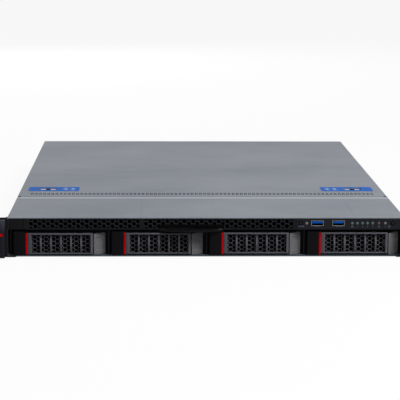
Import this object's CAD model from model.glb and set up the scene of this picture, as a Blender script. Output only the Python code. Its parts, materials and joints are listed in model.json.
import json
import math

import bmesh
import bpy
from mathutils import Matrix, Vector

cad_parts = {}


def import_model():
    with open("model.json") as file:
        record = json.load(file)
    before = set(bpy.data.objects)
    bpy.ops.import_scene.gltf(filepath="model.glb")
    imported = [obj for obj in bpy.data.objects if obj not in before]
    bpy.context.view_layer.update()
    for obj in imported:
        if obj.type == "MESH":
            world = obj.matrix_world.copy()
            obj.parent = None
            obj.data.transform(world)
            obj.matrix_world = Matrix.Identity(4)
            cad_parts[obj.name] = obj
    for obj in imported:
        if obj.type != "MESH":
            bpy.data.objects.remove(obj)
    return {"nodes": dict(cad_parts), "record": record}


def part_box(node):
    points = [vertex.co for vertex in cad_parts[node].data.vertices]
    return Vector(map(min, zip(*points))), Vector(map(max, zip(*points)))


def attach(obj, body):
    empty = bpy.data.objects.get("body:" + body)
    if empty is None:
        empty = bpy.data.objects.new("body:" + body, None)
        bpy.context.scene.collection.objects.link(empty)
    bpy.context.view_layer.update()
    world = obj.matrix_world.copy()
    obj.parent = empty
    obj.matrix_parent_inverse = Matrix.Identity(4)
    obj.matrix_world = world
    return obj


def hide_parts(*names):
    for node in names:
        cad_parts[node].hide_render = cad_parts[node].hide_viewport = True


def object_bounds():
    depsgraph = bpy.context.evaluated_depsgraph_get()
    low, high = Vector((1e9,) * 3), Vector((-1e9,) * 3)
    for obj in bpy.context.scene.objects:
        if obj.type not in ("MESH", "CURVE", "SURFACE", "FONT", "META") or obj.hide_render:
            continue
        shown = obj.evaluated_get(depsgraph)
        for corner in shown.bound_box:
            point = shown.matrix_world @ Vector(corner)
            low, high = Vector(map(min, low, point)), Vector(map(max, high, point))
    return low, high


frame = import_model()
cad_bounds = [list(corner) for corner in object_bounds()]

MM = 0.001
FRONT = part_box("front_top_plate")[0].y
BAYS = range(1, 5)
RECORD = frame["record"]
SLOTS = {part["node"]: part["material_slot"] for part in RECORD["subparts"]}
BODIES = {node: body for body, nodes in RECORD["behaviour"]["bodies"].items() for node in nodes}


# ---------------------------------------------------------------- node building
def operation(kind, swapped=False):
    """A method that adds one Math node, with its own socket first, or last where the values are swapped."""
    def method(self, *others):
        return self.nodes.math(kind, *((*others, self) if swapped else (self, *others)))

    return method


class Socket:
    """A node's output, whose arithmetic adds Math nodes to the same tree."""

    __add__ = __radd__ = operation("ADD")
    __sub__ = operation("SUBTRACT")
    __rsub__ = operation("SUBTRACT", True)
    __mul__ = __rmul__ = operation("MULTIPLY")
    __truediv__ = operation("DIVIDE")
    above = operation("GREATER_THAN")
    below = operation("LESS_THAN")
    size = operation("ABSOLUTE")
    # The distance from the start of each repeat.
    repeat = operation("MODULO")

    def __init__(self, nodes, socket):
        self.nodes = nodes
        self.socket = socket

    def within(self, low, high):
        return self.above(low) * self.below(high)

    def ramp(self, low, high):
        """0 below one value and 1 above the other, in a straight line between them."""
        inputs = {0: self, 1: low, 2: high, 3: 0.0, 4: 1.0}
        return self.nodes.out("ShaderNodeMapRange", inputs, clamp=True)


class Nodes:
    """Adds nodes to one tree."""

    def __init__(self, tree):
        self.tree = tree

    def add(self, kind, inputs=None, **settings):
        node = self.tree.nodes.new(kind)
        for key, value in settings.items():
            setattr(node, key, value)
        for key, value in (inputs or {}).items():
            if isinstance(value, Socket):
                self.tree.links.new(value.socket, node.inputs[key])
            else:
                node.inputs[key].default_value = value
        return node

    def out(self, kind, inputs=None, output=0, **settings):
        return Socket(self, self.add(kind, inputs, **settings).outputs[output])

    def math(self, operation, *values):
        return self.out("ShaderNodeMath", dict(enumerate(values)), operation=operation)

    def either(self, first, *others):
        """The largest of some values."""
        for other in others:
            first = self.math("MAXIMUM", first, other)
        return first

    def mix(self, share, low, high):
        return self.out("ShaderNodeMix", {0: share, 6: low, 7: high}, 2, data_type="RGBA")

    def split(self, place):
        node = self.add("ShaderNodeSeparateXYZ", {0: place})
        return [Socket(self, output) for output in node.outputs]

    def join(self, *values):
        return self.out("ShaderNodeCombineXYZ", dict(enumerate(values)))

    def put(self, geometry, *values):
        """The geometry with its points at the given x, y and z."""
        inputs = {"Geometry": geometry, "Position": self.join(*values)}
        return self.out("GeometryNodeSetPosition", inputs)


def bare_tree(data):
    """The emptied node tree of a material or a world."""
    data.use_nodes = True
    data.node_tree.nodes.clear()
    return data.node_tree


# ---------------------------------------------------------------- finishes
def srgb(red, green, blue):
    """A colour given as 0 to 255 on screen, in linear light."""
    levels = []
    for level in (red, green, blue):
        share = level / 255
        levels.append(share / 12.92 if share <= 0.04045 else ((share + 0.055) / 1.055) ** 2.4)
    return (*levels, 1.0)


def shade(colour, factor, lift=0.0):
    """A colour made paler or darker."""
    return tuple(min(1.0, level * factor + lift) for level in colour[:3]) + (1.0,)


class Finish(Nodes):
    """A material in the making, with its noise in the object's own coordinates.

    x, y and z count in millimetres from the lowest corner of a CAD node, and ends holds that node's size.
    Without a node they count from the middle of the front, at height 0.
    """

    def __init__(self, name, node=None):
        self.material = bpy.data.materials.new(name)
        super().__init__(bare_tree(self.material))
        self.place = self.out("ShaderNodeTexCoord", output="Object")
        front = Vector((0.0, FRONT, 0.0))
        low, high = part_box(node) if node else (front, front)
        self.x, self.y, self.z = [(along - start) / MM for along, start in zip(self.split(self.place), low)]
        self.ends = (high - low) / MM

    def noise(self, scale, detail=2.0, stretch=(1.0, 1.0, 1.0), rough=0.5):
        place = self.out("ShaderNodeMapping", {0: self.place, 3: stretch})
        inputs = {"Vector": place, "Scale": scale, "Detail": detail, "Roughness": rough}
        return self.out("ShaderNodeTexNoise", inputs)

    def inside(self, x=None, y=None, z=None):
        """1 between the given limits along each axis, and 0 elsewhere."""
        share = 1.0
        for along, limits in ((self.x, x), (self.y, y), (self.z, z)):
            if limits:
                share = along.within(*limits) * share
        return share

    def reach(self, across, up):
        """The distance from where both are 0."""
        return self.math("SQRT", across * across + up * up)

    def label(self, area, start):
        """A paper label's colour within an area, with grey rules across it."""
        rules = (self.y - start).repeat(5.0).below(1.2)
        words = self.noise(240.0, 1.0, (1.0, 0.02, 1.0)).above(0.47)
        return self.mix(area * rules * words, srgb(206, 207, 204), srgb(70, 72, 76))

    def bump(self, height, depth, strength=1.0):
        """Relief of a depth given in millimetres."""
        return self.out("ShaderNodeBump", {"Height": height, "Distance": depth * MM, "Strength": strength})

    def done(self, colour, rough, normal, metal=0.0, gloss=0.5):
        surface = self.out("ShaderNodeBsdfPrincipled", {
            "Base Color": colour, "Roughness": rough, "Normal": normal, "Metallic": metal,
            "Specular IOR Level": gloss})
        self.add("ShaderNodeOutputMaterial", {"Surface": surface})
        return self.material


def moulded(name, colour, rough, grain, paler, gloss):
    """Moulded plastic: a fine spark-eroded grain, slow changes of tone and lightly rubbed patches."""
    f = Finish(name)
    fine = f.noise(2600.0, 2.0)
    slow = f.noise(38.0, 3.0)
    rubbed = f.noise(140.0, 4.0).ramp(0.55, 0.8)
    base = f.mix(slow * 0.5 + rubbed * 0.3, colour, shade(colour, paler))
    rough_places = rough + (fine - 0.5) * 0.12 - rubbed * 0.06
    return f.done(base, rough_places, f.bump(fine, 0.05, grain * 4), gloss=gloss)


def powder(name, colour, rough):
    """Powder coat over sheet steel, with its orange-peel skin."""
    f = Finish(name)
    peel = f.noise(900.0, 1.0)
    base = f.mix(f.noise(20.0, 2.0), colour, shade(colour, 1.4, 0.002))
    return f.done(base, rough + (peel - 0.5) * 0.1, f.bump(peel, 0.08, 0.25), gloss=0.15)


def bright_metal(name, colour, rough, metal):
    """Plated or machined metal with a fine lay."""
    f = Finish(name)
    lay = f.noise(700.0, 2.0, (0.2, 4.0, 4.0))
    base = f.mix(f.noise(60.0, 3.0), shade(colour, 0.75), colour)
    return f.done(base, rough + (lay - 0.5) * 0.15, f.bump(lay, 0.01, 0.3), metal)


# How far the paint reaches from the front, in millimetres.
PAINTED = 8.0


def pan_sheet(name):
    """Zinc-coated sheet with rolling streaks, clouds and fine scratches.

    Its front edges are painted black, with a paler lip at the bottom.
    """
    f = Finish(name)
    colour = srgb(150, 153, 158)
    streaks = f.noise(14.0, 5.0, (3.0, 60.0, 60.0), 0.6)
    clouds = f.noise(9.0, 3.0)
    scratch = f.noise(160.0, 2.0, (0.12, 6.0, 6.0)).ramp(0.72, 0.8)
    sheet = f.mix(streaks * 0.6 + clouds * 0.4, shade(colour, 0.86), colour)
    paint = f.mix(f.z.within(0.55, 3.0), srgb(14, 14, 17), srgb(88, 96, 106))
    bare = f.y.ramp(PAINTED, PAINTED * 1.1)
    rough = 0.42 + (streaks - 0.5) * 0.16 - scratch * 0.08
    return f.done(f.mix(bare, paint, sheet), rough, f.bump(streaks, 0.02, 0.3), bare * 0.55, 0.2)


# The faint pressed lines of the top: each line's x and half its width, in millimetres.
PRESSED_LINES = ((-71.8, 0.5), (9.3, 0.4), (163.5, 0.6))


def top_sheet(name):
    """Zinc-coated top sheet: clouds, streaks, pressed lines, a burnished fold and painted front ends."""
    f = Finish(name)
    low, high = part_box("top_cover")
    fold = (low.y - FRONT) / MM + 3.5
    clouds = f.noise(5.0, 5.0, (1.0, 1.3, 1.0), 0.6)
    streaks = f.noise(16.0, 4.0, (1.0, 9.0, 1.0), 0.55)
    fine = f.noise(700.0, 2.0)
    tone = (clouds * 0.75 + streaks * 0.25).ramp(0.32, 0.68)
    base = f.mix(tone, srgb(107, 113, 123), srgb(135, 140, 148))
    lines = f.either(*[(f.x - x).size().below(half) for x, half in PRESSED_LINES])
    lap = (f.y - 124).size().below(1.6) * f.x.below(PRESSED_LINES[-1][0])
    pressed = f.either(f.y.within(4, 132) * lines, lap * 0.5)
    base = f.mix(pressed * 0.35, base, srgb(92, 96, 104))
    burnished = f.y.within(129.0, fold)
    base = f.mix(burnished * 0.45, base, srgb(168, 176, 186))
    painted = f.y.below(9) * f.z.below(high.z / MM - 1.4)
    base = f.mix(painted, base, srgb(16, 16, 19))
    rough = 0.5 + (streaks - 0.5) * 0.14 - burnished * 0.1
    normal = f.bump(fine * 0.5 + streaks - pressed, 0.02, 0.25)
    return f.done(base, rough, normal, (1 - painted) * 0.35, 0.1)


def drive_casting(name):
    """A dark cast base under a satin metal cover plate with a paper label."""
    f = Finish(name, "hard_drive_1")
    cover = f.z.above(f.ends.z - 1.6)
    cast = f.noise(500.0, 3.0)
    lay = f.noise(300.0, 2.0, (0.2, 4.0, 4.0))
    plate = f.mix(lay, srgb(150, 151, 154), srgb(176, 177, 180))
    base = f.mix(cover, f.mix(cast, srgb(9, 9, 10), srgb(16, 16, 18)), plate)
    across = f.x.repeat(107.5)
    paper = across.within(14.0, 88.0) * f.y.within(38, 128) * cover
    words = across.within(19.0, 78.0) * f.y.within(44, 122)
    base = f.mix(paper, base, f.label(words, 44))
    bare = cover * (1 - paper)
    rough = 0.5 - bare * 0.15 + (cast - 0.5) * 0.1
    return f.done(base, rough, f.bump(cast, 0.08, 0.4), bare * 0.8, 0.03)


def supply_case(name, node):
    """A metal case with a label, a black mains inlet with plated blades, dark vents and a black handle."""
    f = Finish(name, node)
    wide, deep, tall = f.ends
    face = deep - 26.0
    lay = f.noise(700.0, 2.0, (4.0, 0.2, 4.0))
    sheet = f.mix(f.noise(60.0, 3.0), srgb(146, 148, 150), srgb(180, 182, 184))
    paper = f.inside((10, 62), (45, 130)) * f.z.above(tall - 0.1)
    base = f.mix(paper, sheet, f.label(f.inside((15, 56), (50, 124)), 50))
    inlet = f.inside((3.4, 31.0), (face - 17.6, deep), (2.4, 22.4))
    vents = f.inside((33.0, wide - 2.0), (face - 3.2, face - 0.3))
    black_parts = f.either(inlet, vents, f.y.above(face + 0.2))
    base = f.mix(black_parts, base, f.mix(f.noise(900.0), srgb(16, 16, 18), srgb(26, 26, 28)))
    blades = 0.0
    for x, z in ((10.2, 7.5), (24.2, 7.5), (17.2, 13.5)):
        blades = f.inside((x - 1.2, x + 1.2), (face - 16.9, face - 1.0), (z - 0.2, z + 4.2)) + blades
    base = f.mix(blades, base, srgb(190, 184, 170))
    metal = (1 - f.either(paper, black_parts)) * 0.75 + blades * 0.9
    return f.done(base, 0.42 + (lay - 0.5) * 0.15, f.bump(lay, 0.01, 0.3), metal, 0.2)


def port_shells(name):
    """Plated shells: black wells and two lamps on the network sockets, dyed inserts on the D-shaped ones."""
    f = Finish(name, "rear_ports")
    wide, deep, tall = f.ends
    face = deep - 5.0
    lay = f.noise(500.0, 2.0)
    shell = f.mix(lay, srgb(150, 148, 142), srgb(186, 184, 178))
    network = f.x.below(64.7)
    across = f.x.repeat(16.2)
    well = network * across.within(1.0, 14.8) * f.inside(y=(0.0, face - 0.05), z=(0.6, tall - 0.6))
    contacts = well * across.within(4.4, 11.6) * f.x.repeat(1.02).below(0.5) * f.y.below(8)
    base = f.mix(well, shell, srgb(14, 14, 16))
    base = f.mix(contacts, base, srgb(196, 158, 70))
    lit = network * f.inside(y=(face - 0.1, deep), z=(11.3, 12.9))
    base = f.mix(lit * across.within(1.2, 3.6), base, srgb(96, 168, 84))
    base = f.mix(lit * across.within(12.2, 14.6), base, srgb(206, 150, 52))
    insert = f.inside((66, wide), (deep - 0.1, deep + 1))
    dye = f.mix(f.x.below(104), srgb(24, 108, 104), srgb(24, 62, 158))
    pins = f.x.repeat(2.3).below(1.0) * f.z.repeat(2.2).below(1.0)
    base = f.mix(insert, base, f.mix(pins, dye, srgb(12, 12, 14)))
    metal = (1 - f.either(well, insert)) * 0.75
    return f.done(base, 0.36 + (lay - 0.5) * 0.12, f.bump(lay, 0.01, 0.3), metal)


def fan_rotor_finish(name, node):
    """Black moulded blades, with a round label on the hub."""
    f = Finish(name, node)
    reach = f.reach(f.x - f.ends.x / 2, f.z - f.ends.z / 2)
    grain = f.noise(1200.0, 2.0)
    base = f.mix(grain, srgb(22, 22, 24), srgb(34, 34, 37))
    ring = f.mix(reach.within(4.6, 5.4), srgb(186, 188, 186), srgb(84, 88, 96))
    base = f.mix(reach.below(7.4), base, ring)
    return f.done(base, 0.45 + (grain - 0.5) * 0.1, f.bump(grain, 0.03, 0.3), gloss=0.15)


def memory_board(name):
    """Green boards with a row of black chips on each face."""
    f = Finish(name, "memory_modules")
    chip = f.y.repeat(14.8).within(2.0, 12.8) * f.z.within(11.5, 26.0)
    tracks = f.noise(900.0, 3.0)
    base = f.mix(chip, f.mix(tracks, srgb(12, 60, 38), srgb(24, 88, 56)), srgb(20, 20, 22))
    return f.done(base, 0.4 + chip * 0.1, f.bump(chip + tracks * 0.1, 0.3, 0.5))


def board_blocks(name):
    """Black chips and sockets, pale socket latches, a plated cell, a finned cooler and grey power sockets."""
    f = Finish(name, "board_parts")
    grain = f.noise(800.0, 2.0)
    base = f.mix(grain, srgb(24, 24, 26), srgb(36, 36, 39))
    ends = f.either(f.y.below(5), f.y.within(137, 142.4))
    base = f.mix(ends, base, srgb(176, 178, 172))
    grooves = f.y.within(9, 133) * f.z.above(7.8) * f.y.repeat(1.7).below(0.7)
    base = f.mix(grooves * 0.6, base, srgb(96, 88, 60))
    cell = f.reach(f.x - 109.3, f.y - 217.1).below(9.3) * f.z.above(3.2)
    base = f.mix(cell, base, srgb(196, 194, 188))
    cooler = f.inside((38.2, 70.6), (240.8, 273.2), (1.6, f.ends.z))
    fins = f.mix(f.x.repeat(3.2).above(1.5), srgb(44, 46, 50), srgb(160, 163, 168))
    base = f.mix(cooler, base, fins)
    power_sockets = f.inside((280, f.ends.x + 1), (175, 196))
    base = f.mix(power_sockets * f.x.repeat(4.2).above(2.6), base, srgb(74, 75, 80))
    metal = f.either(cell, cooler)
    rough = 0.46 - metal * 0.1 + (grain - 0.5) * 0.1
    return f.done(base, rough, f.bump(grain, 0.04, 0.3), metal * 0.7, 0.25)


def circuit_board(name, node=None, black_side=None):
    """Solder mask over copper tracks, with plated holes, and black connectors where a rule gives them."""
    f = Finish(name, node)
    tracks = f.out("ShaderNodeTexWave", {
        "Vector": f.place, "Scale": 180.0, "Distortion": 6.0, "Detail": 2.0, "Detail Scale": 0.6},
        1, bands_direction="DIAGONAL")
    copper = tracks.ramp(0.55, 0.7) * f.noise(40.0, 2.0).ramp(0.4, 0.6)
    holes = f.out("ShaderNodeTexVoronoi", {"Vector": f.place, "Scale": 420.0}).below(0.16)
    mask = f.mix(copper, srgb(14, 62, 38), srgb(26, 92, 56))
    base = f.mix(holes, mask, srgb(178, 160, 110))
    if black_side:
        base = f.mix(black_side(f), base, srgb(24, 24, 27))
    return f.done(base, 0.35 + holes * 0.1, f.bump(copper - holes, 0.04, 0.4))


# The middles of the arrows on the left and right touch plate, in millimetres.
ARROWS = (-160.0, 157.0)


def touch_blue(name):
    """Printed blue plate with a fine dot screen and two pale arrows beside each window."""
    f = Finish(name)
    low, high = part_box("touch_plates")
    along = ((low.y + high.y) / 2 - FRONT) / MM - f.y
    centre = f.x.above(0.0) * (ARROWS[1] - ARROWS[0]) + ARROWS[0]
    marks = []
    for shift, way in ((-4.4, 1), (4.4, -1)):
        across = (f.x - centre - shift).size()
        ahead = along * way
        head = ahead.within(0.0, 8.0) * (across - (8.0 - ahead) * 0.5).below(0.0)
        stem = ahead.within(-6.0, 0.5) * across.below(1.1)
        bar = ahead.within(-10.0, -8.2) * across.below(3.2)
        marks += [head, stem, bar]
    screen = f.noise(1800.0, 1.0)
    ink = f.mix(screen, srgb(0, 86, 174), srgb(8, 98, 190))
    base = f.mix(f.either(*marks) * 0.55, ink, srgb(190, 205, 228))
    return f.done(base, 0.5 + screen * 0.1, f.bump(screen, 0.02, 0.3), gloss=0.06)


def lamp_colours(name):
    """Light pipes: pale green in the middle row, one red, and one pale at each end."""
    f = Finish(name, "panel_lamps")
    red_start, red_end = f.ends.x - 13.0, f.ends.x - 5.0
    grain = f.noise(900.0, 2.0)
    green = f.mix(grain, srgb(86, 100, 97), srgb(104, 118, 115))
    base = f.mix(f.x.within(red_start, red_end), green, srgb(112, 86, 90))
    base = f.mix(f.either(f.x.above(red_end), f.x.below(10.0)), base, srgb(128, 128, 132))
    return f.done(base, 0.3 + grain * 0.1, f.bump(grain, 0.02, 0.2), gloss=0.2)


def ear_black(name):
    """Moulded ear covers, rubbed to a satin grey towards the top."""
    f = Finish(name, "ear_blocks")
    fine = f.noise(2600.0, 2.0)
    base = f.mix(f.noise(38.0, 3.0), srgb(26, 26, 32), srgb(34, 34, 41))
    rubbed = f.z.ramp(f.ends.z - 15.0, f.ends.z - 5.0)
    base = f.mix(rubbed * 0.75, base, srgb(62, 62, 74))
    return f.done(base, 0.4 + (fine - 0.5) * 0.12, f.bump(fine, 0.05, 0.2), gloss=0.08)


# Name, colour, roughness, grain, how much paler the pale places are, and gloss.
MOULDED = {
    "strip": ("Strip black", (27, 29, 31), 0.5, 0.05, 1.3, 0.05),
    "vents": ("Vent black", (38, 41, 44), 0.5, 0.05, 1.3, 0.06),
    "blank": ("Blank panel black", (26, 26, 28), 0.5, 0.05, 1.25, 0.05),
    "panel": ("Panel black", (36, 37, 42), 0.5, 0.05, 1.2, 0.05),
    "sled": ("Sled black", (19, 19, 22), 0.5, 0.05, 1.3, 0.03),
    "lever": ("Lever grey", (94, 93, 100), 0.42, 0.04, 1.1, 0.1),
    "latch": ("Latch grey", (112, 111, 114), 0.5, 0.04, 1.1, 0.08),
    "red": ("Touch red", (206, 4, 14), 0.4, 0.03, 1.1, 0.05),
    "tab": ("Tab black", (12, 12, 14), 0.38, 0.03, 1.3, 0.06),
    "button": ("Button black", (34, 34, 38), 0.45, 0.05, 1.2, 0.08),
    "tongue": ("Contact tongue blue", (0, 96, 196), 0.4, 0.03, 1.1, 0.05),
    "orange": ("Release orange", (206, 92, 30), 0.45, 0.05, 1.25, 0.12),
    "fan": ("Fan black", (30, 30, 31), 0.45, 0.05, 1.5, 0.03),
    "dark": ("Dark recess", (8, 8, 9), 0.7, 0.05, 1.5, 0.03),
    "mark": ("Printed mark", (116, 116, 146), 0.6, 0.02, 1.1, 0.05),
}
# Name, colour, roughness and metal share.
BRIGHT = {
    "pad": ("Release pad", (184, 178, 170), 0.35, 0.5),
    "plated": ("Plated steel", (190, 186, 180), 0.3, 0.9),
    "socket": ("Socket shell", (160, 156, 149), 0.4, 0.6),
    "fins": ("Extruded aluminium", (196, 198, 200), 0.4, 0.85),
}
FINISH = {
    "top": top_sheet("Top sheet"),
    "pan": pan_sheet("Pan sheet"),
    "cage": powder("Cage black", srgb(12, 12, 14), 0.6),
    "bracket": powder("Bracket black", srgb(16, 16, 19), 0.5),
    "ear": ear_black("Ear black"),
    "blue": touch_blue("Touch plate blue"),
    "lamps": lamp_colours("Light pipes"),
    "board": circuit_board("Circuit board"),
    "backplane": circuit_board("Backplane", "backplane", lambda f: f.y.below(f.ends.y - 1.8)),
    "riser": circuit_board("Riser card", "riser_card", lambda f: f.x.above(1.8)),
    "memory": memory_board("Memory boards"),
    "blocks": board_blocks("Board parts"),
    "ports": port_shells("Port shells"),
    "drive": drive_casting("Drive casting"),
}
for table, maker in ((MOULDED, moulded), (BRIGHT, bright_metal)):
    for key, (name, colour, *numbers) in table.items():
        FINISH[key] = maker(name, srgb(*colour), *numbers)


# ---------------------------------------------------------------- mesh building
def corner(bm, pair, axis, level):
    """A vertex at a level along x, y or z, from its two other coordinates in order."""
    values = list(pair)
    values.insert(axis, level)
    return bm.verts.new(values)


def bridge(bm, loops, closed=False):
    """Join loops of equal count in turn, and the last to the first where the shape is a ring."""
    count = len(loops[0])
    for one, two in zip(loops, loops[1:] + loops[:1] if closed else loops[1:]):
        for i in range(count):
            j = (i + 1) % count
            bm.faces.new((one[i], one[j], two[j], two[i]))


def lofted(bm, loops):
    """A body through loops of equal count, with a flat face at each end."""
    bm.faces.new(loops[0])
    bm.faces.new(loops[-1])
    bridge(bm, loops)


def prism(bm, outline, axis, start, end):
    """Extrude a closed outline along x, y or z. Its pairs are the two other coordinates, in order."""
    lofted(bm, [[corner(bm, pair, axis, level) for pair in outline] for level in (start, end)])


def ring_prism(bm, outer, inner, axis, start, end):
    """A closed frame between two outlines that have the same number of corners."""
    turns = ((outer, start), (inner, start), (inner, end), (outer, end))
    bridge(bm, [[corner(bm, pair, axis, level) for pair in outline] for outline, level in turns], closed=True)


def rectangle(x0, x1, z0, z1):
    return [(x0, z0), (x1, z0), (x1, z1), (x0, z1)]


def block(bm, low, high):
    prism(bm, rectangle(low[1], high[1], low[2], high[2]), 0, low[0], high[0])


def circle(x, z, radius, count=24):
    turn = 2 * math.pi / count
    return [(x + radius * math.cos(i * turn), z + radius * math.sin(i * turn)) for i in range(count)]


def rounded(x, y, half_x, half_y, radius, steps=6):
    """A rectangle with rounded corners, always with the same count of points."""
    points = []
    for turn, (side_x, side_y) in enumerate(((1, 1), (-1, 1), (-1, -1), (1, -1))):
        for i in range(steps + 1):
            a = math.pi / 2 * (turn + i / steps)
            points.append((x + side_x * (half_x - radius) + radius * math.cos(a),
                           y + side_y * (half_y - radius) + radius * math.sin(a)))
    return points


def cut(bm, axis, level, side=1, clear=False):
    """Cut all faces at a level along one axis, and clear what lies on the given side of it where asked."""
    place, normal = [0, 0, 0], [0, 0, 0]
    place[axis], normal[axis] = level, side
    bmesh.ops.bisect_plane(bm, geom=bm.verts[:] + bm.edges[:] + bm.faces[:], dist=1e-7,
                           plane_co=place, plane_no=normal, clear_outer=clear)


def filled(bm):
    """Close every hole with a face."""
    bmesh.ops.holes_fill(bm, edges=[edge for edge in bm.edges if edge.is_boundary], sides=0)


def coat(mesh, finish):
    mesh.materials.clear()
    mesh.materials.append(FINISH[finish])


def coated(bm, name, finish):
    """The mesh of a finished body, with its normals outward and one finish."""
    bmesh.ops.recalc_face_normals(bm, faces=bm.faces)
    mesh = bpy.data.meshes.new(name)
    bm.to_mesh(mesh)
    bm.free()
    coat(mesh, finish)
    return mesh


def joined(name, meshes):
    """One mesh from several, each keeping its own finish."""
    bm = bmesh.new()
    finishes = []
    for mesh in meshes:
        start = len(bm.faces)
        bm.from_mesh(mesh)
        bm.faces.ensure_lookup_table()
        own = mesh.materials[0]
        if own not in finishes:
            finishes.append(own)
        for face in bm.faces[start:]:
            face.material_index = finishes.index(own)
    result = bpy.data.meshes.new(name)
    bm.to_mesh(result)
    bm.free()
    for finish in finishes:
        result.materials.append(finish)
    return result


def linked(name, data):
    """A new object in the scene."""
    obj = bpy.data.objects.new(name, data)
    bpy.context.scene.collection.objects.link(obj)
    return obj


def taken(obj):
    """The mesh that an object and its modifiers give. The object goes."""
    graph = bpy.context.evaluated_depsgraph_get()
    mesh = bpy.data.meshes.new_from_object(obj.evaluated_get(graph), depsgraph=graph)
    bpy.data.objects.remove(obj)
    return mesh


def piece(name, mesh, body, slot, nodes=(), bevel=0.0, segments=2, angle=35.0):
    """Put a finished mesh in the scene, on its body, in place of its CAD nodes."""
    obj = linked(name, mesh)
    mesh.shade_smooth()
    mesh.set_sharp_from_angle(angle=math.radians(angle))
    if bevel:
        modifier = obj.modifiers.new("Edges", "BEVEL")
        modifier.width = bevel
        modifier.segments = segments
        modifier.limit_method = "ANGLE"
        modifier.angle_limit = math.radians(angle)
        modifier.harden_normals = True
    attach(obj, body)
    if nodes:
        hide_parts(*nodes)


# ---------------------------------------------------------------- geometry trees
def grow(name, build, sizes, finish):
    """Run one geometry tree and return its plain mesh."""
    tree = bpy.data.node_groups.new(name, "GeometryNodeTree")
    tree.interface.new_socket("Shape", in_out="OUTPUT", socket_type="NodeSocketGeometry")
    for label, value in sizes.items():
        kind = "NodeSocketInt" if isinstance(value, int) else "NodeSocketFloat"
        tree.interface.new_socket(label, in_out="INPUT", socket_type=kind)
    tree.interface.new_socket("Finish", in_out="INPUT", socket_type="NodeSocketMaterial")
    nodes = Nodes(tree)
    given = nodes.add("NodeGroupInput")
    size = {label: Socket(nodes, given.outputs[label]) for label in list(sizes) + ["Finish"]}
    real = nodes.out("GeometryNodeRealizeInstances", {0: build(nodes, size)})
    finished = nodes.out("GeometryNodeSetMaterial", {"Geometry": real, "Material": size["Finish"]})
    nodes.add("NodeGroupOutput", {0: finished})
    carrier = linked(name, bpy.data.meshes.new(name))
    modifier = carrier.modifiers.new("Grow", "NODES")
    modifier.node_group = tree
    values = dict(sizes, Finish=FINISH[finish])
    for item in tree.interface.items_tree:
        if item.in_out == "INPUT":
            modifier[item.identifier] = values[item.name]
    mesh = taken(carrier)
    coat(mesh, finish)
    return mesh


def lattice(nodes, size):
    """Points in staggered upright columns, counted by Columns and Rows."""
    columns, rows = size["Columns"], size["Rows"]
    points = nodes.out("GeometryNodePoints", {"Count": columns * rows})
    index = nodes.out("GeometryNodeInputIndex")
    column = nodes.math("FLOOR", (index + 0.5) / rows)
    row = index - column * rows
    x = size["Left"] + column * size["Column pitch"]
    z = size["Bottom"] + (row - column.repeat(2.0) * 0.5) * size["Row pitch"]
    return nodes.put(points, x, size["Depth"], z)


def honeycomb(nodes, size):
    """A staggered field of six-sided cells, each a ring with a small bevel at its front."""
    sheet = nodes.out("GeometryNodeMeshGrid", {
        "Size X": 6.0, "Size Y": 4.0, "Vertices X": 7, "Vertices Y": 5})
    around, along = nodes.split(nodes.out("GeometryNodeInputPosition"))[:2]
    turn = (around + 3.0) * (math.pi / 3)
    step = along + 2.0
    outer = size["Row pitch"] / math.sqrt(3)
    hole = size["Hole flats"] / math.sqrt(3)
    rim = step.below(0.5) + step.above(3.5)
    radius = hole + (outer - hole) * rim + size["Edge"] * step.within(0.5, 1.5)
    depth = size["Edge"] * step.within(1.5, 2.5) + size["Thickness"] * step.above(2.5)
    cell = nodes.put(sheet, radius * nodes.math("COSINE", turn), depth, radius * nodes.math("SINE", turn))
    field = nodes.out("GeometryNodeInstanceOnPoints", {"Points": lattice(nodes, size), "Instance": cell})
    real = nodes.out("GeometryNodeRealizeInstances", {0: field})
    return nodes.out("GeometryNodeMergeByDistance", {"Geometry": real, "Distance": 0.02 * MM})


def slits(nodes, size):
    """A row of cutters in pairs, the two of each pair leaning a little to each other."""
    points = nodes.out("GeometryNodePoints", {"Count": size["Count"] * 2.0})
    index = nodes.out("GeometryNodeInputIndex")
    second = index.repeat(2.0)
    x = size["Left"] + (index - second) * 0.5 * size["Pitch"] + (second - 0.5) * size["Pair"]
    row = nodes.put(points, x, size["Depth"], size["Height"])
    bar = nodes.out("GeometryNodeMeshCylinder", {
        "Vertices": 10, "Radius": size["Width"] * 0.5, "Depth": size["Deep"]})
    turn = nodes.join(0.0, 0.0, (second * 2.0 - 1.0) * size["Lean"])
    stretch = nodes.join(1.0, size["Length"] / size["Width"], 1.0)
    return nodes.out("GeometryNodeInstanceOnPoints", {
        "Points": row, "Instance": bar, "Rotation": turn, "Scale": stretch})


def clipped(mesh, window, finish):
    """Keep what lies in a window, given as x0, x1, z0 and z1, and close the cut faces."""
    bm = bmesh.new()
    bm.from_mesh(mesh)
    bmesh.ops.remove_doubles(bm, verts=bm.verts, dist=0.01 * MM)
    for axis, level, side in zip((0, 0, 2, 2), window, (-1, 1, -1, 1)):
        cut(bm, axis, level, side, True)
    filled(bm)
    return coated(bm, mesh.name, finish)


def honeycomb_field(name, window, cell, net, depth, finish):
    """A honeycomb plate that fills a window, one of its cells at the given x and z."""
    x0, x1, z0, z1 = window
    pitch = net["Row pitch"]
    column = pitch * math.sqrt(3) / 2
    left = math.ceil((cell[0] - x0) / column / 2 + 1) * 2
    below = math.ceil((cell[1] - z0) / pitch + 1)
    sizes = {
        "Columns": left + math.ceil((x1 - cell[0]) / column) + 2,
        "Rows": below + math.ceil((z1 - cell[1]) / pitch) + 3,
        "Left": cell[0] - left * column, "Depth": depth, "Bottom": cell[1] - below * pitch,
        "Column pitch": column, **net}
    return clipped(grow(name, honeycomb, sizes, finish), window, finish)


# ---------------------------------------------------------------- top plates
# The height of the side flanges, the thickness of the sheet, and the radius of its folds.
FLANGE = 11.9 * MM
SHEET = 1.0 * MM
FOLD = 1.0 * MM


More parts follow.
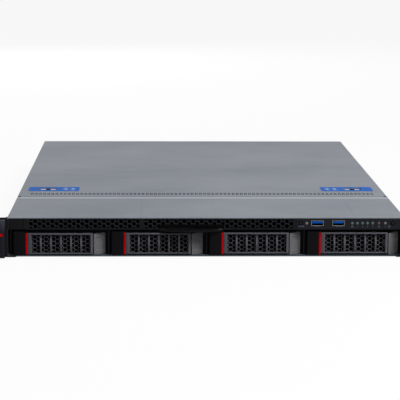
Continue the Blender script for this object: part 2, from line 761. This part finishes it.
def folded_outline(x0, x1, top):
    """The section of a folded sheet: flat on top, with a rounded fold and a flange at each side."""
    steps = [i * math.pi / 8 for i in range(5)]
    right = [(x1 - FOLD + FOLD * math.sin(a), top - FOLD + FOLD * math.cos(a)) for a in steps]
    left = [(x0 + FOLD - FOLD * math.sin(a), top - FOLD + FOLD * math.cos(a)) for a in reversed(steps)]
    inside = [(x1, top - FLANGE), (x1 - SHEET, top - FLANGE), (x1 - SHEET, top - SHEET),
              (x0 + SHEET, top - SHEET), (x0 + SHEET, top - FLANGE), (x0, top - FLANGE)]
    return right + inside + left


def top_plate():
    """The fixed plate over the front, folded down at its sides."""
    low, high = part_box("front_top_plate")
    bm = bmesh.new()
    prism(bm, folded_outline(low.x, high.x, high.z), 1, low.y, high.y)
    mesh = coated(bm, "top_plate", "top")
    piece("top_plate", mesh, "chassis", "zinc_steel", ["front_top_plate"], 0.25 * MM, 2, 50.0)


SLIT_COUNT = 84
SLIT_PITCH = 4.88 * MM
SLIT_ROW = 164.0 * MM
SLIT_SHAPE = {"Pair": 1.8 * MM, "Width": 1.25 * MM, "Length": 14.0 * MM, "Deep": 6.0 * MM, "Lean": 0.03}
SEAM_RAMP = 5.0 * MM
SEAM_DROP = 1.2 * MM
SEAM_NOTCH = 3.8 * MM
NOTCH_EDGE = 2.2 * MM
CUT_REACH = 4.0 * MM
# The side of each release window and its shift from its button's middle, and half a window's size.
WINDOWS = (("left", -1.2 * MM), ("right", -1.5 * MM))
WINDOW_HALF = (11.2 * MM, 6.6 * MM)


def window_centre(side, shift):
    low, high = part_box("release_button_" + side)
    return (low.x + high.x) / 2 + shift, (low.y + high.y) / 2


def lid_cutter(low, high):
    """What is cut out of the cover's sheet: the air slits, the release windows and the front notches."""
    row = grow("lid_slits", slits, {
        "Count": SLIT_COUNT, "Left": -(SLIT_COUNT - 1) / 2 * SLIT_PITCH, "Depth": FRONT + SLIT_ROW,
        "Height": high.z, "Pitch": SLIT_PITCH, **SLIT_SHAPE}, "dark")
    bm = bmesh.new()
    bottom, top = high.z - CUT_REACH, high.z + CUT_REACH
    for side, shift in WINDOWS:
        x, y = window_centre(side, shift)
        prism(bm, rounded(x, y, *WINDOW_HALF, WINDOW_HALF[1]), 2, bottom, top)
    for start in (low.x + NOTCH_EDGE, high.x - SEAM_NOTCH):
        block(bm, (start, low.y, bottom), (start + SEAM_NOTCH - NOTCH_EDGE, low.y + 8 * MM, top))
    return joined("lid_cutter", [row, coated(bm, "pills", "dark")])


def lid():
    """The removable cover, with a lap that slopes down to the front plate between two dark notches."""
    low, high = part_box("top_cover")
    bm = bmesh.new()
    prism(bm, folded_outline(low.x, high.x, high.z), 1, low.y + SEAM_RAMP, high.y)
    sheet = linked("lid_blank", coated(bm, "lid_sheet", "top"))
    cutter = linked("lid_cutter", lid_cutter(low, high))
    modifier = sheet.modifiers.new("Cut", "BOOLEAN")
    modifier.object = cutter
    modifier.solver = "EXACT"
    pierced = taken(sheet)
    coat(pierced, "top")
    bpy.data.objects.remove(cutter)
    bm = bmesh.new()
    slope = [(low.y, high.z - SEAM_DROP), (low.y + SEAM_RAMP, high.z),
             (low.y + SEAM_RAMP, high.z - SHEET), (low.y, high.z - SEAM_DROP - SHEET)]
    prism(bm, slope, 0, low.x + SEAM_NOTCH, high.x - SEAM_NOTCH)
    for side in (low.x, high.x - SHEET):
        block(bm, (side, low.y, high.z - FLANGE), (side + SHEET, low.y + SEAM_RAMP, high.z - 2.5 * FOLD))
    ramp = coated(bm, "lid_ramp", "top")
    bm = bmesh.new()
    for start, end in ((low.x + SHEET, low.x + SEAM_NOTCH), (high.x - SEAM_NOTCH, high.x - SHEET)):
        block(bm, (start, low.y, high.z - 3.0 * MM), (end, low.y + 10 * MM, high.z - 2.0 * MM))
    mesh = joined("lid", [pierced, ramp, coated(bm, "lid_notch", "dark")])
    piece("lid", mesh, "cover", "zinc_steel", ["top_cover"], angle=25.0)


# How far each pad is from the window's middle, and half its size.
PAD_SHIFT = 6.1 * MM
PAD_HALF = (3.2 * MM, 5.2 * MM)


def release_pads():
    """Two pale pads on a carrier, with a dark finger gap between them."""
    for side, shift in WINDOWS:
        node = "release_button_" + side
        low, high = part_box(node)
        x, y = window_centre(side, shift)
        pads = bmesh.new()
        for middle in (x - PAD_SHIFT, x + PAD_SHIFT):
            prism(pads, rounded(middle, y, *PAD_HALF, 1.2 * MM), 2, high.z - 1.2 * MM, high.z)
        carrier = bmesh.new()
        block(carrier, low, (high.x, high.y, high.z - 1.5 * MM))
        name = "release_pads_" + side
        mesh = joined(name, [coated(pads, "pads", "pad"), coated(carrier, "carrier", "dark")])
        piece(name, mesh, node, "plated_steel", [node], 0.4 * MM, 3)


# Where each touch plate starts and ends in x, and half its depth.
PLATE_SPANS = ((-208.9 * MM, -148.0 * MM), (144.5 * MM, 207.2 * MM))
PLATE_HALF = 15.8 * MM


def touch_plates():
    """Thin printed plates with rounded corners, each around its window."""
    low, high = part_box("touch_plates")
    y = (low.y + high.y) / 2
    half_x, half_y = (half + 0.3 * MM for half in WINDOW_HALF)
    bm = bmesh.new()
    for (side, shift), (start, end) in zip(WINDOWS, PLATE_SPANS):
        x, window_y = window_centre(side, shift)
        outer = rounded((start + end) / 2, y, (end - start) / 2, PLATE_HALF, 4.0 * MM)
        inner = rounded(x, window_y, half_x, half_y, half_y - 0.1 * MM)
        ring_prism(bm, outer, inner, 2, low.z, high.z)
    mesh = coated(bm, "touch_plates_printed", "blue")
    piece("touch_plates_printed", mesh, "cover", SLOTS["touch_plates"], ["touch_plates"])


# ---------------------------------------------------------------- trays
PANES = 6
PANE = 9.2 * MM
RIB = 1.85 * MM
PANE_LEFT = 4.55 * MM
PANE_BASE = 2.1 * MM
PANE_HIGH = 20.6 * MM
CROWN = 3.1 * MM
MESH_FRONT = 3.7 * MM
LEVER_NET = {"Row pitch": 4.77 * MM, "Hole flats": 4.15 * MM, "Edge": 0.2 * MM, "Thickness": 1.1 * MM}
# For each bay: how much higher the lever sits than in CAD, how much wider it is, and how much its red strip
# is cut back at the bottom and the top.
SEATS = {1: -0.9 * MM, 2: -0.5 * MM, 3: -0.2 * MM, 4: 0.0}
WIDER = {1: 0.0, 2: 0.0, 3: 0.4 * MM, 4: 2.2 * MM}
BARREL_ENDS = {1: (0.0, 1.8 * MM), 2: (0.4 * MM, 0.5 * MM), 3: (0.8 * MM, 0.5 * MM), 4: (0.3 * MM, 0.5 * MM)}


def lever(k):
    """A bevelled frame, five upright ribs with a crown, and a honeycomb behind them."""
    low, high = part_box(f"tray_lever_{k}")
    pane = PANE + WIDER[k] / PANES
    x0 = low.x + PANE_LEFT
    x1 = x0 + PANES * pane + (PANES - 1) * RIB
    right = high.x + WIDER[k]
    bottom, top = low.z + 0.9 * MM + SEATS[k], high.z - 0.3 * MM + SEATS[k]
    z0 = low.z + PANE_BASE + SEATS[k]
    z1 = z0 + PANE_HIGH
    soft = 0.35 * MM
    side = 0.9 * MM
    bm = bmesh.new()
    levels = [
        ((low.x, right, bottom, top), high.y),
        ((low.x, right, bottom, top), low.y + side),
        ((low.x + side, right - side, bottom + 0.2 * MM, top - soft), low.y),
        ((x0 - soft, x1 + soft, z0 - soft, z1 + soft), low.y),
        ((x0, x1, z0, z1), low.y + soft),
        ((x0, x1, z0, z1), high.y),
    ]
    loops = [[bm.verts.new((x, y, z)) for x, z in rectangle(*sides)] for sides, y in levels]
    for vert in loops[2][:2]:
        vert.co.y += 0.5 * MM
    bridge(bm, loops, closed=True)
    crest = z0 + 0.44 * (z1 - z0)
    back = low.y + MESH_FRONT + 0.5 * MM
    flat = 0.1 * MM
    rib = [(back, z0), (low.y + CROWN, z0), (low.y + flat, crest - 0.8 * MM), (low.y, crest),
           (low.y + flat, crest + 0.8 * MM), (low.y + CROWN, z1), (back, z1)]
    for i in range(1, PANES):
        x = x0 + i * (pane + RIB) - RIB
        prism(bm, rib, 0, x, x + RIB)
    pitch = LEVER_NET["Row pitch"]
    cell = ((x0 + x1) / 2 - pitch * math.sqrt(3) / 2, (z0 + z1) / 2 + pitch / 2)
    net = honeycomb_field("lever_net", (x0, x1, z0, z1), cell, LEVER_NET, low.y + MESH_FRONT, "lever")
    mesh = joined(f"grille_lever_{k}", [coated(bm, "lever_frame", "lever"), net])
    piece(f"grille_lever_{k}", mesh, f"lever_{k}", "grey_plastic", [f"tray_lever_{k}"])


# The width of a latch's face, and how far its left edge stands out before its right one.
LATCH_WIDE = 12.4 * MM
LATCH_RISE = 7.4 * MM


def latch(k):
    """A sloped latch whose finger face has a shallow recess with one cut corner."""
    low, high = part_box(f"tray_latch_{k}")
    x0, x1 = high.x - LATCH_WIDE + WIDER[k] * 0.9, high.x + WIDER[k] * 0.4
    rise = LATCH_RISE / (x1 - x0)
    z0, z1 = low.z - 0.7 * MM, high.z - 0.1 * MM + SEATS[k]

    def face(outline, sunk=0.0):
        return [(x, low.y + (x - x0) * rise + sunk, z) for x, z in outline]

    def outline(left, right, bottom, top, chamfer, tilt=0.0):
        """A rectangle drawn in from the latch's sides by distances in millimetres, with one corner cut."""
        left, right, bottom, top = x0 + left * MM, x1 - right * MM, z0 + bottom * MM, z1 - top * MM
        chamfer = chamfer * MM
        return [(left, bottom), (right, bottom), (right, top - chamfer),
                (right - chamfer * 0.5, top - chamfer * 0.4), (right - chamfer, top), (left, top - tilt * MM)]

    rim = outline(0.0, 0.0, 0.0, 0.0, 1.2, 0.9)
    mouth = outline(1.9, 1.9, 4.6, 4.4, 3.4)
    pocket = outline(2.3, 2.4, 5.0, 5.0, 3.2)
    back = [(x, high.y, z) for x, z in rim]
    bm = bmesh.new()
    loops = (back, face(rim), face(mouth), face(pocket, 0.7 * MM))
    lofted(bm, [[bm.verts.new(place) for place in loop] for loop in loops])
    middle = (z0 + z1) / 2
    block(bm, (low.x, low.y + 4.3 * MM, middle - 4 * MM), (x0 + 1 * MM, low.y + 6.3 * MM, middle + 4 * MM))
    for lift in (5.0 * MM, -3.0 * MM):
        z = middle + lift
        block(bm, (x1 - 1.6 * MM, high.y - 1.6 * MM, z - 0.6 * MM), (x1, high.y - 0.4 * MM, z + 0.6 * MM))
    mesh = coated(bm, f"slide_latch_{k}", "latch")
    piece(f"slide_latch_{k}", mesh, f"latch_{k}", "grey_plastic", [f"tray_latch_{k}"], 0.12 * MM, 2, 25.0)


# ---------------------------------------------------------------- upper strip
STRIP_NET = {"Row pitch": 5.42 * MM, "Hole flats": 4.45 * MM, "Edge": 0.25 * MM, "Thickness": 3.2 * MM}
# Where the two fields start and end from the strip's left end, how high above its bottom the net starts over
# the tab and a row of cells lies, how far a field's first cell is from its start, how deep the rails are, and
# how thick the lips.
LEFT_FIELD = (4.9 * MM, 126.0 * MM)
RIGHT_FIELD = (130.8 * MM, 296.1 * MM)
TAB_BAND = 5.2 * MM
STRIP_ROW = 6.0 * MM
FIRST_CELL = 2.7 * MM
RAIL = 2.0 * MM
LIP = 0.8 * MM


def vent_strip():
    """Rails around two honeycomb fields with a divider, and a dark shelf over the information tab."""
    low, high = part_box("vent_bezel")
    tab_low, tab_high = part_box("info_tab")
    z0, z1 = low.z + 1.2 * MM, high.z - LIP
    one, two = ([low.x + end for end in field] for field in (LEFT_FIELD, RIGHT_FIELD))
    band = low.z + TAB_BAND
    tab = (tab_low.x - 0.5 * MM, tab_high.x + 0.5 * MM)
    back = FRONT + RAIL
    bm = bmesh.new()
    rails = [(low.x, high.x, z1, high.z), (low.x, one[0], z0, z1), (one[1], two[0], z0, z1),
             (two[1], high.x, z0, z1), (low.x, tab[0], low.z, z0), (tab[1], high.x, low.z, z0)]
    for x0, x1, bottom, top in rails:
        block(bm, (x0, FRONT, bottom), (x1, back, top))
    block(bm, (low.x, back, high.z - LIP), high)
    for x0, x1 in ((low.x, tab[0]), (tab[1], high.x)):
        block(bm, (x0, back, low.z), (x1, high.y, low.z + LIP))
    divider = (one[1] + two[0]) / 2
    block(bm, (divider - 0.8 * MM, low.y, low.z), (divider + 0.8 * MM, FRONT, high.z))
    shelf = bmesh.new()
    block(shelf, (tab[0], FRONT + 0.8 * MM, tab_high.z + 0.3 * MM), (tab[1], back, band))
    meshes = [coated(bm, "vent_rails", "strip"), coated(shelf, "vent_shelf", "dark")]
    column = STRIP_NET["Row pitch"] * math.sqrt(3) / 2
    for x0, x1, base in ((*one, z0), (two[0], tab[0], z0), (*tab, band), (tab[1], two[1], z0)):
        first = (one if x0 < divider else two)[0] + FIRST_CELL
        steps = round((x0 - first) / column / 2) * 2
        cell = (first + steps * column, low.z + STRIP_ROW)
        meshes.append(honeycomb_field("vent_net", (x0, x1, base, z1), cell, STRIP_NET, FRONT, "vents"))
    piece("vent_strip", joined("vent_strip", meshes), "chassis", "black_plastic", ["vent_bezel"])


def blank():
    """The blank panel at the left, a plate with a lip at its top and bottom."""
    low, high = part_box("blank_panel")
    back = low.y + 2 * MM
    outline = [(low.y, low.z), (high.y, low.z), (high.y, low.z + LIP), (back, low.z + LIP),
               (back, high.z - LIP), (high.y, high.z - LIP), (high.y, high.z), (low.y, high.z)]
    bm = bmesh.new()
    prism(bm, outline, 0, low.x, high.x)
    mesh = coated(bm, "blank_plate", "blank")
    piece("blank_plate", mesh, "chassis", "black_plastic", ["blank_panel"], 0.3 * MM)


# How far each lamp is to the right of the first, and the radii and depths of a light pipe, in millimetres.
LAMP_OFFSETS = (0.0, 50.3, 55.9, 61.5, 67.1, 72.7, 79.7, 86.7)
LAMP_PROFILE = ((1.5, 10.0), (1.5, 0.05), (1.3, -0.08), (0.85, -0.14))


def lamp_lenses():
    """The light pipes, each a rod with a slightly domed end."""
    low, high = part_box("panel_lamps")
    first = low.x + (high.z - low.z) / 2
    z = (low.z + high.z) / 2
    bm = bmesh.new()
    for offset in LAMP_OFFSETS:
        loops = []
        for radius, depth in LAMP_PROFILE:
            y = max(low.y, FRONT + depth * MM)
            ring = circle(first + offset * MM, z, radius * MM, 20)
            loops.append([bm.verts.new((px, y, pz)) for px, pz in ring])
        lofted(bm, loops)
    piece("lamp_lenses", coated(bm, "lamp_lenses", "lamps"), "chassis", "lamp_lens", ["panel_lamps"])


# Half sizes of a USB shell, where the first one is, and the depths of the front and rear ones.
USB_HALF = (6.8 * MM, 2.95 * MM)
USB_FIRST = (7.2 * MM, 3.1 * MM)
USB_DEPTHS = {1: 9.8 * MM, -1: 16.0 * MM}
THIN = 0.05 * MM


def slab(bm, x, ys, z, half_x, half_z):
    """A block around x and z, between two depths in any order."""
    block(bm, (x - half_x, min(ys), z - half_z), (x + half_x, max(ys), z + half_z))


def sockets():
    """USB sockets: rolled shells with a dark lining and a blue tongue high inside."""
    low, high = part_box("usb_ports")
    shells, insides, tongues = bmesh.new(), bmesh.new(), bmesh.new()
    half, tall = USB_HALF
    x, z = USB_FIRST
    places = [(high.x - x - offset, high.z - z, FRONT + 0.2 * MM, 1) for offset in (0.0, 23.3 * MM)]
    places += [(low.x + x + offset, low.z + z, high.y, -1) for offset in (0.0, 20.0 * MM)]
    for x, z, mouth, way in places:
        back = mouth + USB_DEPTHS[way] * way
        outer = rectangle(x - half, x + half, z - tall, z + tall)
        inner = rectangle(x - half + 0.4 * MM, x + half - 0.4 * MM, z - 2.55 * MM, z + 2.6 * MM)
        ring_prism(shells, outer, inner, 1, mouth, back)
        slab(insides, x, (back, back - 0.5 * MM * way), z, half - 0.2 * MM, 2.75 * MM)
        slab(tongues, x, (mouth + 0.7 * MM * way, back - 0.3 * MM * way), z + 1.15 * MM, 6.0 * MM, 1.25 * MM)
        lining = (mouth + 0.5 * MM * way, back)
        for side in (-1, 1):
            slab(insides, x + side * (half - 0.47 * MM), lining, z, THIN, 2.45 * MM)
            slab(insides, x, lining, z + side * 2.48 * MM, half - 0.6 * MM, THIN)
    mesh = joined("usb_sockets", [coated(shells, "shells", "socket"), coated(insides, "insides", "dark"),
                                  coated(tongues, "tongues", "tongue")])
    piece("usb_sockets", mesh, "chassis", "plated_steel", ["usb_ports"], 0.12 * MM)


def written(text, x, z, height, y):
    """A flat printed figure as a mesh, its middle at x and z."""
    curve = bpy.data.curves.new("figure", "FONT")
    curve.body = text
    curve.size = height
    curve.extrude = 0.01 * MM
    curve.align_x = "CENTER"
    mesh = taken(linked("figure", curve))
    mesh.transform(Matrix.Translation((x, y, z - height * 0.35)) @ Matrix.Rotation(math.pi / 2, 4, "X"))
    coat(mesh, "mark")
    return mesh


def printed_marks():
    """Plain symbols under the lamps and sockets of the control panel."""
    low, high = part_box("panel_lamps")
    first = low.x + (high.z - low.z) / 2
    y = FRONT - 0.02 * MM
    z = high.z - 5.2 * MM
    lamps = [first + offset * MM for offset in LAMP_OFFSETS]
    meshes = [written(str(i + 1), lamps[i + 2], z, 2.3 * MM, y) for i in range(4)]
    bm = bmesh.new()

    def bar(x, dx, dz, wide, tall):
        """A printed bar off the place x and z, with its offsets and its size in millimetres."""
        x0, z0 = x + (dx - wide / 2) * MM, z + (dz - tall / 2) * MM
        prism(bm, rectangle(x0, x0 + wide * MM, z0, z0 + tall * MM), 1, y, FRONT)

    net, fault = lamps[1], lamps[6]
    for dx, dz in ((-1.0, -0.6), (1.0, -0.6), (0.0, 0.7)):
        bar(net, dx, dz, 0.9, 0.7)
    bar(net, 0.0, 0.05, 2.0, 0.25)
    outer, inner = ([(fault + dx * MM, z + dz * MM) for dx, dz in ((-half, base), (half, base), (0.0, tip))]
                    for half, base, tip in ((1.5, -0.9, 1.3), (0.9, -0.6, 0.75)))
    ring_prism(bm, outer, inner, 1, y, FRONT)
    power = lamps[7] + 4.4 * MM
    ring_prism(bm, circle(power, z, 1.2 * MM, 16), circle(power, z, 0.85 * MM, 16), 1, y, FRONT)
    bar(power, 0.0, 0.9, 0.35, 1.5)
    bar(lamps[7], -0.4, 0.2, 0.5, 1.2)
    usb_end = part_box("usb_ports")[1].x
    for offset in (7.2, 30.5):
        bar(usb_end, -offset, 0.3, 5.4, 0.35)
        bar(usb_end, 2.4 - offset, 0.3, 1.0, 1.0)
        bar(usb_end, -2.7 - offset, 0.3, 0.8, 0.8)
    for dx in (-8.2, -6.6, -5.0, -3.4):
        bar(first, dx, 0.4, 1.0, 0.9)
    meshes.append(coated(bm, "symbols", "mark"))
    piece("panel_marks", joined("panel_marks", meshes), "chassis", "lamp_lens")


# ---------------------------------------------------------------- information tab and ears
# The grip's steps across, and its levels: a height in millimetres and how far the edge is drawn in there.
GRIP_STEPS = 40
GRIP_LEVELS = ((0.0, 0.0), (0.5, 0.0), (1.6, 0.03), (2.0, 0.16), (3.1, 0.75), (3.6, 0.98))


def tab_grip():
    """A lens-shaped grip that falls away towards its top, on the tab's plate with a small step."""
    low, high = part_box("info_tab")
    face = FRONT - 0.3 * MM
    reach = face - low.y
    centre, half = (low.x + high.x) / 2, (high.x - low.x) / 2
    radius = (half ** 2 + reach ** 2) / (2 * reach)
    edge = []
    for i in range(GRIP_STEPS + 1):
        x = -half + 2 * half * i / GRIP_STEPS
        edge.append((centre + x, face - max(0.0, math.sqrt(radius ** 2 - x ** 2) - (radius - reach))))
    bm = bmesh.new()
    loops = []
    for lift, inset in (*GRIP_LEVELS, (0.0, 1.0), (GRIP_LEVELS[-1][0], 1.0)):
        z = low.z + lift * MM
        loops.append([bm.verts.new((x, y + (face - y) * inset, z)) for x, y in edge])
    *front, rear_low, rear_high = loops
    bands = [*zip(front, front[1:]), (rear_low, front[0]), (front[-1], rear_high), (rear_high, rear_low)]
    for one, two in bands:
        for i in range(GRIP_STEPS):
            bm.faces.new((one[i], one[i + 1], two[i + 1], two[i]))
    bmesh.ops.remove_doubles(bm, verts=bm.verts, dist=0.005 * MM)
    filled(bm)
    left, right = low.x + 5.0 * MM, high.x - 5.0 * MM
    block(bm, (left, face - 0.1 * MM, high.z - 2.2 * MM), (right, high.y, high.z - 1.0 * MM))
    step = bmesh.new()
    block(step, (low.x + 9 * MM, face - 2.2 * MM, high.z - 0.9 * MM), (centre, face, high.z))
    mesh = joined("tab_grip", [coated(bm, "grip", "tab"), coated(step, "step", "tab")])
    piece("tab_grip", mesh, "info_tab", "black_plastic", ["info_tab"], 0.12 * MM, 2, 40.0)


def softened(node, finish, width, move=None, splits=()):
    """A CAD node's own shape with its edges rounded over, each corner first moved where a rule says so."""
    bm = bmesh.new()
    bm.from_mesh(frame["nodes"][node].data)
    bmesh.ops.remove_doubles(bm, verts=bm.verts, dist=0.002 * MM)
    bmesh.ops.dissolve_limit(bm, angle_limit=math.radians(1.0), verts=bm.verts, edges=bm.edges)
    for axis, level in splits:
        cut(bm, axis, level)
    if move:
        for vert in bm.verts:
            vert.co = move(*vert.co)
    mesh = coated(bm, node + "_soft", finish)
    piece(node + "_soft", mesh, BODIES[node], SLOTS[node], [node], width, 2, 40.0)


def touch_strip(k):
    """The red strip of a lever, seated with it."""
    low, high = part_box(f"tray_barrel_{k}")
    rise, drop = BARREL_ENDS[k]

    def seated(x, y, z):
        share = (z - low.z) / (high.z - low.z)
        return (x, y, low.z + rise + share * (high.z - low.z - rise - drop))

    softened(f"tray_barrel_{k}", "red", 0.15 * MM, seated)


STRIPE_LIFT = 2.3 * MM
EAR_TOP_DROP = 1.2 * MM
EAR_SLOPE = 3.4 * MM
EAR_STEP = 3.6 * MM
FLANGE_DROP = 3.4 * MM


def ear_covers():
    """The covers end lower than the bracket and meet the body more closely, with the stripe above the pad."""
    low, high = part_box("ear_blocks")
    stripe_low, stripe_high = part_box("ear_stripes")
    shoulder = stripe_high.z + 6 * MM
    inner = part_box("chassis_base")[1].x + 5.5 * MM

    def inward(x, distance):
        return x - math.copysign(distance, x) if abs(x) < inner else x

    def cover(x, y, z):
        if z > shoulder - 0.1 * MM:
            rise = (z - shoulder) / (high.z - shoulder)
            if y < low.y + 2 * MM:
                y += rise * rise * EAR_SLOPE
            z = shoulder + rise * (high.z - EAR_TOP_DROP - shoulder)
        elif z > stripe_low.z - 0.4 * MM:
            z += STRIPE_LIFT
        return (inward(x, 1.4 * MM), y, z)

    def stripe(x, y, z):
        return (inward(x, 0.9 * MM), y, z + STRIPE_LIFT)

    def bracket(x, y, z):
        lowered = y > FRONT + 7.9 * MM and z > high.z - 4 * MM
        return (x, y, z - FLANGE_DROP if lowered else z)

    softened("ear_brackets", "bracket", 0.2 * MM, bracket, [(1, FRONT + 6 * MM), (1, FRONT + 8 * MM)])
    softened("ear_blocks", "ear", 0.4 * MM, cover, [(2, shoulder + i * EAR_STEP) for i in range(3)])
    softened("ear_stripes", "red", 0.1 * MM, stripe)


def push_buttons():
    """A domed cap in a dark ring, on a square stem."""
    for node in ("id_button", "power_button"):
        low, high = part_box(node)
        x, z = (low.x + high.x) / 2, (low.z + high.z) / 2
        radius = (high.x - low.x) / 2
        groove = radius - 0.75 * MM
        stem = radius / 2

        def rings(bm, profile):
            return [[bm.verts.new((px, low.y + depth * MM, pz)) for px, pz in circle(x, z, size, 28)]
                    for size, depth in profile]

        ring, cap = bmesh.new(), bmesh.new()
        bridge(ring, rings(ring, ((radius, 3.0), (radius, 0.9), (groove, 0.9), (groove, 2.9))), closed=True)
        dome = ((groove, 3.0), (groove, 0.35), (groove - 0.25 * MM, 0.05), (groove * 0.5, 0.0),
                (groove * 0.2, 0.1))
        lofted(cap, rings(cap, dome))
        block(cap, (x - stem, low.y + 3.0 * MM, z - stem), (x + stem, high.y, z + stem))
        mesh = joined(node + "_cap", [coated(ring, node, "dark"), coated(cap, node, "button")])
        piece(node + "_cap", mesh, node, SLOTS[node], [node])


DRESSED = {
    "pan": ("chassis_base", "rear_panel", "slot_covers"),
    "cage": ("drive_cage",),
    "plated": ("ear_screws",),
    "ports": ("rear_ports",),
    "panel": ("control_panel",),
    "board": ("control_board", "motherboard"),
    "backplane": ("backplane",),
    "riser": ("riser_card",),
    "memory": ("memory_modules",),
    "blocks": ("board_parts",),
    "fins": ("heatsinks",),
    "fan": ("fan_frames",),
    "drive": [f"hard_drive_{k}" for k in BAYS],
    "orange": ("psu_latch_1", "psu_latch_2"),
}


def dress_cad_nodes():
    """Give carried-over CAD nodes their finish, some of them with softened edges."""
    nodes = frame["nodes"]
    for finish, dressed in DRESSED.items():
        for node in dressed:
            coat(nodes[node].data, finish)
    for k in BAYS:
        rotor = f"fan_rotor_{k}"
        FINISH[rotor] = fan_rotor_finish(f"Fan rotor {k}", rotor)
        coat(nodes[rotor].data, rotor)
    for n in (1, 2):
        supply = f"power_supply_{n}"
        FINISH[supply] = supply_case(f"Supply case {n}", supply)
        coat(nodes[supply].data, supply)
    for node in ("ear_latch_left", "ear_latch_right"):
        softened(node, "ear", 0.4 * MM)
    for k in BAYS:
        softened(f"tray_sled_{k}", "sled", 0.3 * MM)
        touch_strip(k)


# ---------------------------------------------------------------- stage, light and camera
def looked_at(nodes):
    """1 for the rays by which a surface is seen, also in a reflection, and 0 for those by which it lights."""
    path = nodes.add("ShaderNodeLightPath")
    kinds = ("Is Camera Ray", "Is Glossy Ray", "Is Transmission Ray")
    return nodes.either(*[Socket(nodes, path.outputs[kind]) for kind in kinds])


def floor():
    """A white floor that shines evenly where it is seen and lights the object only a little."""
    reach = 30.0
    mesh = bpy.data.meshes.new("floor")
    bm = bmesh.new()
    bm.faces.new([bm.verts.new((x, y, 0)) for x, y in rectangle(-reach, reach, -reach, reach)])
    bm.to_mesh(mesh)
    bm.free()
    white = bpy.data.materials.new("Floor white")
    n = Nodes(bare_tree(white))
    seen = looked_at(n)
    tone = n.mix(seen, (0.35, 0.35, 0.35, 1.0), (0.99, 0.99, 0.99, 1.0))
    matt = n.out("ShaderNodeBsdfDiffuse", {"Color": tone})
    glow = n.out("ShaderNodeEmission", {"Color": (1.0, 1.0, 1.0, 1.0), "Strength": 1.0})
    both = n.out("ShaderNodeMixShader", {0: seen * 0.92, 1: matt, 2: glow})
    n.add("ShaderNodeOutputMaterial", {"Surface": both})
    mesh.materials.append(white)
    obj = linked("floor", mesh)
    obj.location.z = cad_bounds[0][2] - 0.5 * MM


def world():
    """A white surround that is bright where it is seen and dim as a light."""
    made = bpy.data.worlds.new("Studio")
    bpy.context.scene.world = made
    n = Nodes(bare_tree(made))
    strength = looked_at(n) * 0.88 + 0.12
    back = n.out("ShaderNodeBackground", {"Color": (1.0, 1.0, 1.0, 1.0), "Strength": strength})
    n.add("ShaderNodeOutputWorld", {"Surface": back})


# Name, place, what it is aimed at, width, height, power, and whether it shows in reflections.
LIGHTS = (
    ("key", (1.25, -1.25, 1.65), (0, -0.15, 0), 0.85, 0.85, 40.0, True),
    ("fill", (0.3, -2.4, 0.9), (0, 0, 0), 1.4, 1.0, 3.5, True),
    ("rear", (-0.6, 2.4, 1.0), (0, 0.2, 0), 1.2, 1.2, 22.0, False),
    ("side", (-2.4, 0.5, 0.8), (0, 0, 0), 1.0, 1.0, 10.0, False),
)


def lights():
    """The four area lights."""
    for name, place, target, width, height, power, glossy in LIGHTS:
        light = bpy.data.lights.new(name, "AREA")
        light.shape = "RECTANGLE"
        light.size = width
        light.size_y = height
        light.energy = power
        obj = linked(name, light)
        obj.location = place
        obj.rotation_euler = (Vector(target) - Vector(place)).to_track_quat("-Z", "Y").to_euler()
        obj.visible_glossy = glossy


# Where the camera stands, its yaw, pitch and roll in degrees, and its focal length in millimetres.
CAMERA_PLACE = (-58.9 * MM, FRONT - 1827.1 * MM, 365.0 * MM)
CAMERA_TURN = (1.61, 9.385, 0.28)
CAMERA_LENS = 152.36


def camera():
    """The camera, placed and turned as the values above say."""
    yaw, pitch, roll = (math.radians(a) for a in CAMERA_TURN)
    forward = Vector((math.sin(yaw) * math.cos(pitch), math.cos(yaw) * math.cos(pitch), -math.sin(pitch)))
    right = Vector((math.cos(yaw), -math.sin(yaw), 0))
    up = right.cross(forward)
    turned = math.cos(roll) * right + math.sin(roll) * up
    upright = math.cos(roll) * up - math.sin(roll) * right
    data = bpy.data.cameras.new("camera")
    data.sensor_width = 36.0
    data.lens = CAMERA_LENS
    data.clip_end = 100.0
    obj = linked("camera", data)
    rotation = Matrix((turned, upright, -forward)).transposed().to_4x4()
    obj.matrix_world = Matrix.Translation(CAMERA_PLACE) @ rotation
    bpy.context.scene.camera = obj


def build():
    top_plate()
    lid()
    release_pads()
    touch_plates()
    for k in BAYS:
        lever(k)
        latch(k)
    vent_strip()
    blank()
    lamp_lenses()
    sockets()
    printed_marks()
    tab_grip()
    push_buttons()
    ear_covers()
    dress_cad_nodes()
    floor()
    world()
    lights()
    camera()
    bpy.context.scene.view_settings.view_transform = "Standard"


build()
